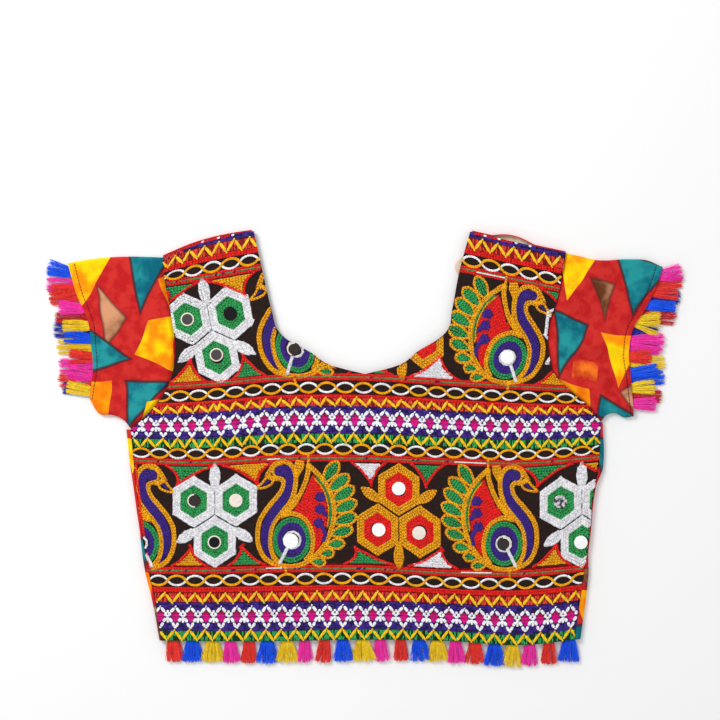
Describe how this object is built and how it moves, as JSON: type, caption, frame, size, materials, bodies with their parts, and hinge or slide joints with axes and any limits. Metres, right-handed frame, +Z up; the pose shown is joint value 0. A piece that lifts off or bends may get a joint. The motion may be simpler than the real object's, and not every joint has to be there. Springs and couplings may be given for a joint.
{
  "type": "choli blouse laid flat",
  "caption": "Short embroidered blouse laid flat, with cap sleeves of printed cotton, round mirrors on the front and a tassel trim at the hem and the cuffs.",
  "frame": {"origin": "on the table under the middle of the back panel, at the height of the embroidered motifs' top edge", "axes": "+X to the right seen from above, across the blouse; +Y up the garment from the hem to the neck; +Z up, away from the table"},
  "size_m": [0.6088, 0.4175, 0.007],
  "materials": {
    "embroidered_front": "dark cotton covered with coloured chain stitch and satin bands",
    "printed_cotton": "soft printed cotton, red with teal, yellow and brown shards",
    "tassel_thread": "soft cut thread in red, blue, yellow and pink",
    "lining_cotton": "plain beige cotton lining",
    "embroidery_thread": "lightly shiny stitched thread",
    "mirror_glass": "small silvered glass discs"
  },
  "bodies": {
    "root": {"front": "embroidered_front", "back": "printed_cotton", "sleeve_left": "printed_cotton", "sleeve_right": "printed_cotton", "hem_fringe_front": "tassel_thread", "hem_fringe_back": "tassel_thread", "sleeve_left_fringe_upper": "tassel_thread", "sleeve_left_fringe_lower": "tassel_thread", "sleeve_right_fringe_upper": "tassel_thread", "sleeve_right_fringe_lower": "tassel_thread", "mirror_01": "mirror_glass", "mirror_02": "mirror_glass", "mirror_03": "mirror_glass", "mirror_04": "mirror_glass", "mirror_05": "mirror_glass", "mirror_06": "mirror_glass", "mirror_07": "mirror_glass", "mirror_08": "mirror_glass", "mirror_09": "mirror_glass", "mirror_10": "mirror_glass", "mirror_11": "mirror_glass", "mirror_12": "mirror_glass", "mirror_13": "mirror_glass", "mirror_14": "mirror_glass", "mirror_15": "mirror_glass"}
  },
  "joints": []
}
